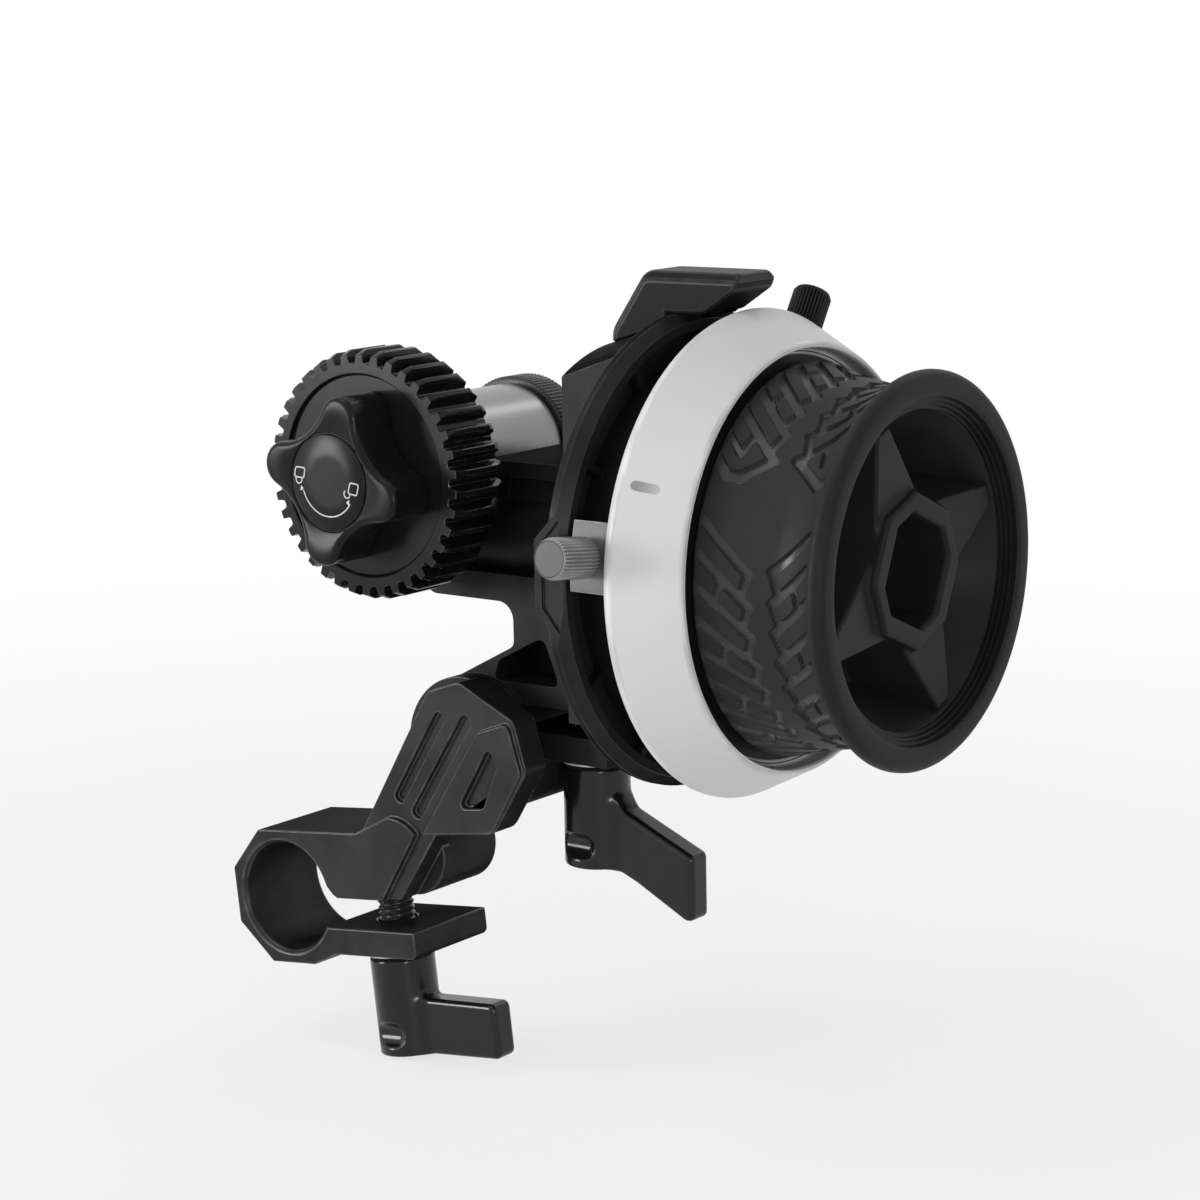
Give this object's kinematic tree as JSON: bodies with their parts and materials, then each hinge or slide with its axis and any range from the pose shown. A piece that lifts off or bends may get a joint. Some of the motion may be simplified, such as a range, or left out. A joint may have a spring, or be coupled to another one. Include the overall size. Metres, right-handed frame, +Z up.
{
  "type": "follow focus unit",
  "caption": "Follow focus unit: rubber handwheel with white marking disc and hard stops drives a lens gear through a right-angle pair, on a swinging arm with a rod clamp.",
  "frame": {"origin": "middle of the rod bore, on its axis", "axes": "+Y along the rod away from the lens gear's face, +X along the handwheel's axis outwards, +Z up"},
  "size_m": [0.1019, 0.0669, 0.1068],
  "materials": {
    "black_metal": "satin black anodised",
    "lens_gear": "satin black",
    "knob": "satin black",
    "grip_rubber": "matt moulded rubber",
    "core_plastic": "satin black",
    "marking_white": "matt white",
    "barrel_metal": "brushed",
    "screw_grey": "grey anodised",
    "steel": "bright",
    "spring_steel": "bright",
    "bronze": "sintered bush",
    "stop_grey": "grey anodised"
  },
  "bodies": {
    "clamp": {"rod_clamp": "black_metal", "pivot_axle": "black_metal", "pivot_cap": "black_metal", "clamp_washer": "steel"},
    "clamp_screw": {"clamp_stud": "steel", "clamp_lever_screw": "steel", "clamp_lever_spring": "spring_steel"},
    "clamp_handle": {"clamp_lever": "black_metal"},
    "head": {"main_housing": "black_metal", "index_pointer": "black_metal", "stop_rail": "core_plastic", "output_barrel": "barrel_metal", "barrel_cap": "black_metal", "input_bearing_front": "bronze", "input_bearing_rear": "bronze", "output_bearing_front": "bronze", "output_bearing_rear": "bronze", "pivot_washer": "steel"},
    "pivot_screw": {"pivot_stud": "steel", "pivot_lever_screw": "steel", "pivot_lever_spring": "spring_steel"},
    "pivot_handle": {"pivot_lever": "black_metal"},
    "barrel_lock": {"lock_ring": "black_metal"},
    "handwheel": {"input_shaft": "steel", "input_gear": "steel", "wheel_core": "core_plastic", "wheel_grip": "grip_rubber", "marking_disc": "marking_white", "hub_screw": "steel", "stop_lug": "stop_grey"},
    "gear_drive": {"output_shaft": "steel", "output_gear": "steel", "output_clip": "spring_steel", "drive_gear": "lens_gear"},
    "gear_lock": {"gear_knob": "knob", "knob_stud": "steel"},
    "hard_stop_a": {"stop_slider_a": "stop_grey"},
    "thumbscrew_a": {"stop_screw_a": "screw_grey"},
    "hard_stop_b": {"stop_slider_b": "black_metal"},
    "thumbscrew_b": {"stop_screw_b": "black_metal"}
  },
  "joints": [
    {"name": "arm_swing", "type": "hinge", "parent": "clamp", "child": "head", "pos_m": [0.028, 0.008, 0.0233], "axis": [0, 1, 0], "range_deg": [-25, 25]},
    {"name": "clamp_stud_turn", "type": "hinge", "parent": "clamp", "child": "clamp_screw", "pos_m": [0.01302, 0, 0.00148], "axis": [-0.1132, 0, 0.9936], "range_deg": [-90, 90]},
    {"name": "clamp_lever_lift", "type": "slide", "parent": "clamp_screw", "child": "clamp_handle", "axis": [0.1132, 0, -0.9936], "range_m": [0, 0.0028], "stiffness_N_per_m": 400, "springref_m": -0.001, "deforming": ["clamp_lever_spring"]},
    {"name": "pivot_stud_turn", "type": "hinge", "parent": "head", "child": "pivot_screw", "pos_m": [0.0417, 0.008, 0.0233], "axis": [0, 0, 1], "range_deg": [-90, 90]},
    {"name": "pivot_lever_lift", "type": "slide", "parent": "pivot_screw", "child": "pivot_handle", "axis": [0, 0, -1], "range_m": [0, 0.0028], "stiffness_N_per_m": 400, "springref_m": -0.001, "deforming": ["pivot_lever_spring"]},
    {"name": "lock_ring_turn", "type": "hinge", "parent": "head", "child": "barrel_lock", "pos_m": [0.0212, 0.02, 0.05995], "axis": [0, 1, 0], "range_deg": [0, 60]},
    {"name": "wheel_turn", "type": "hinge", "parent": "head", "child": "handwheel", "pos_m": [0.028, 0.008, 0.0509], "axis": [1, 0, 0], "range_deg": [-100, 100]},
    {"name": "gear_turn", "type": "hinge", "parent": "head", "child": "gear_drive", "pos_m": [0.0212, 0, 0.05995], "axis": [0, 1, 0], "range_deg": [-100, 100]},
    {"name": "knob_turn", "type": "hinge", "parent": "gear_drive", "child": "gear_lock", "pos_m": [0.0212, -0.016, 0.05995], "axis": [0, 1, 0], "range_deg": [0, 90]},
    {"name": "stop_a_swing", "type": "hinge", "parent": "head", "child": "hard_stop_a", "pos_m": [0.028, 0.008, 0.0509], "axis": [1, 0, 0], "range_deg": [-60, 4]},
    {"name": "stop_a_screw", "type": "hinge", "parent": "hard_stop_a", "child": "thumbscrew_a", "pos_m": [0.0629, -0.02178, 0.05456], "axis": [0, -0.9925, 0.1219], "range_deg": [0, 180]},
    {"name": "stop_b_swing", "type": "hinge", "parent": "head", "child": "hard_stop_b", "pos_m": [0.028, 0.008, 0.0509], "axis": [1, 0, 0], "range_deg": [-4, 15]},
    {"name": "stop_b_screw", "type": "hinge", "parent": "hard_stop_b", "child": "thumbscrew_b", "pos_m": [0.0629, 0.02421, 0.07615], "axis": [0, 0.5402, 0.8415], "range_deg": [0, 180]}
  ],
  "couplings": [
    {"joint": "gear_turn", "follows": "wheel_turn", "ratio": -1}
  ]
}
